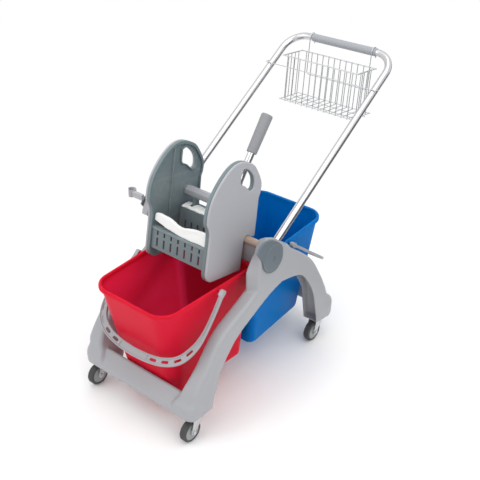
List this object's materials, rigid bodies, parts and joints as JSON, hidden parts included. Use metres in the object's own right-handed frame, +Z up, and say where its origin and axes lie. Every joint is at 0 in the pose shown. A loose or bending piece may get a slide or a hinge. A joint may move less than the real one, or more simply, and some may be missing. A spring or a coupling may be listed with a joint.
{
  "type": "double mop bucket trolley",
  "caption": "Wheeled cleaning trolley with lift-out mop buckets in an arched plastic frame, a lever mop wringer over the front bucket, a tubular push handle and a wire basket",
  "frame": {"origin": "on the floor, midway between the four wheel contacts", "axes": "+X to the trolley's right as seen from the front, +Y from the red bucket to the push handle, +Z up"},
  "size_m": [0.5578, 1.1243, 0.966],
  "materials": {
    "frame_plastic": "satin moulded",
    "bail_plastic": "satin moulded",
    "light_plastic": "satin moulded",
    "wringer_plastic": "fine grained",
    "hub_plastic": "fine grained",
    "pad_plastic": "satin moulded",
    "cross_bar_steel": "drawn tube",
    "chromed_steel": "bright plated",
    "grip_plastic": "soft satin",
    "zinc_steel": "zinc plated",
    "wheel_plastic": "moulded",
    "tyre_rubber": "smooth tread",
    "red_plastic": "satin gloss",
    "blue_plastic": "satin gloss"
  },
  "bodies": {
    "frame": {"side_frame_right": "frame_plastic", "side_frame_left": "frame_plastic", "front_cross_member": "frame_plastic", "rear_cross_member": "frame_plastic", "centre_beam": "frame_plastic", "cross_bar": "cross_bar_steel", "handle_tube": "chromed_steel", "handle_grip": "grip_plastic", "hub_cover_right": "hub_plastic", "hub_cover_left": "hub_plastic", "mop_clip": "light_plastic", "caster_stems": "zinc_steel", "red_bucket": "red_plastic"},
    "caster_front_right": {"fork_front_right": "zinc_steel", "axle_front_right": "zinc_steel"},
    "wheel_front_right": {"wheel_hub_front_right": "wheel_plastic", "tyre_front_right": "tyre_rubber"},
    "caster_front_left": {"fork_front_left": "zinc_steel", "axle_front_left": "zinc_steel"},
    "wheel_front_left": {"wheel_hub_front_left": "wheel_plastic", "tyre_front_left": "tyre_rubber"},
    "caster_rear_right": {"fork_rear_right": "zinc_steel", "axle_rear_right": "zinc_steel"},
    "wheel_rear_right": {"wheel_hub_rear_right": "wheel_plastic", "tyre_rear_right": "tyre_rubber"},
    "caster_rear_left": {"fork_rear_left": "zinc_steel", "axle_rear_left": "zinc_steel"},
    "wheel_rear_left": {"wheel_hub_rear_left": "wheel_plastic", "tyre_rear_left": "tyre_rubber"},
    "red_bail": {"red_bail": "bail_plastic"},
    "blue_bucket": {"blue_bucket": "blue_plastic"},
    "blue_bail": {"blue_bail": "bail_plastic"},
    "wringer": {"wringer_plate_right": "wringer_plastic", "wringer_plate_left": "wringer_plastic", "wringer_cover_right": "light_plastic", "wringer_cover_left": "light_plastic", "wringer_front_wall": "wringer_plastic", "front_press_pad": "pad_plastic", "shaft_bushes": "wringer_plastic"},
    "press": {"press_shaft": "light_plastic", "press_jaw": "wringer_plastic", "rear_press_pad": "pad_plastic", "lever_tube": "chromed_steel", "lever_grip": "grip_plastic"},
    "basket": {"basket_front": "chromed_steel", "basket_back": "chromed_steel", "basket_right": "chromed_steel", "basket_left": "chromed_steel", "basket_floor": "chromed_steel", "basket_hanger": "chromed_steel", "basket_rest_wire": "chromed_steel"}
  },
  "joints": [
    {"name": "swivel_front_right", "type": "hinge", "parent": "frame", "child": "caster_front_right", "pos_m": [0.21, -0.298, 0.09], "axis": [0, 0, 1], "continuous": true},
    {"name": "roll_front_right", "type": "hinge", "parent": "caster_front_right", "child": "wheel_front_right", "pos_m": [0.21, -0.326, 0.0375], "axis": [1, 0, 0], "continuous": true},
    {"name": "swivel_front_left", "type": "hinge", "parent": "frame", "child": "caster_front_left", "pos_m": [-0.21, -0.298, 0.09], "axis": [0, 0, 1], "continuous": true},
    {"name": "roll_front_left", "type": "hinge", "parent": "caster_front_left", "child": "wheel_front_left", "pos_m": [-0.21, -0.326, 0.0375], "axis": [1, 0, 0], "continuous": true},
    {"name": "swivel_rear_right", "type": "hinge", "parent": "frame", "child": "caster_rear_right", "pos_m": [0.21, 0.354, 0.09], "axis": [0, 0, 1], "continuous": true},
    {"name": "roll_rear_right", "type": "hinge", "parent": "caster_rear_right", "child": "wheel_rear_right", "pos_m": [0.21, 0.326, 0.0375], "axis": [1, 0, 0], "continuous": true},
    {"name": "swivel_rear_left", "type": "hinge", "parent": "frame", "child": "caster_rear_left", "pos_m": [-0.21, 0.354, 0.09], "axis": [0, 0, 1], "continuous": true},
    {"name": "roll_rear_left", "type": "hinge", "parent": "caster_rear_left", "child": "wheel_rear_left", "pos_m": [-0.21, 0.326, 0.0375], "axis": [1, 0, 0], "continuous": true},
    {"name": "red_bail_swing", "type": "hinge", "parent": "frame", "child": "red_bail", "pos_m": [0, -0.129, 0.438], "axis": [-1, 0, 0], "range_deg": [0, 105]},
    {"name": "blue_bucket_lift", "type": "slide", "parent": "frame", "child": "blue_bucket", "axis": [0, 0.1736, 0.9848], "range_m": [0, 0.06]},
    {"name": "blue_bail_swing", "type": "hinge", "parent": "blue_bucket", "child": "blue_bail", "pos_m": [0, 0.227, 0.438], "axis": [1, 0, 0], "range_deg": [0, 90]},
    {"name": "wringer_lift", "type": "slide", "parent": "frame", "child": "wringer", "axis": [0, 0.1822, 0.9833], "range_m": [0, 0.1]},
    {"name": "press_swing", "type": "hinge", "parent": "wringer", "child": "press", "pos_m": [0, 0.04468, 0.61942], "axis": [-1, 0, 0], "range_deg": [0, 40]},
    {"name": "basket_lift", "type": "slide", "parent": "frame", "child": "basket", "axis": [0, 0.1045, 0.9945], "range_m": [0, 0.08]}
  ]
}
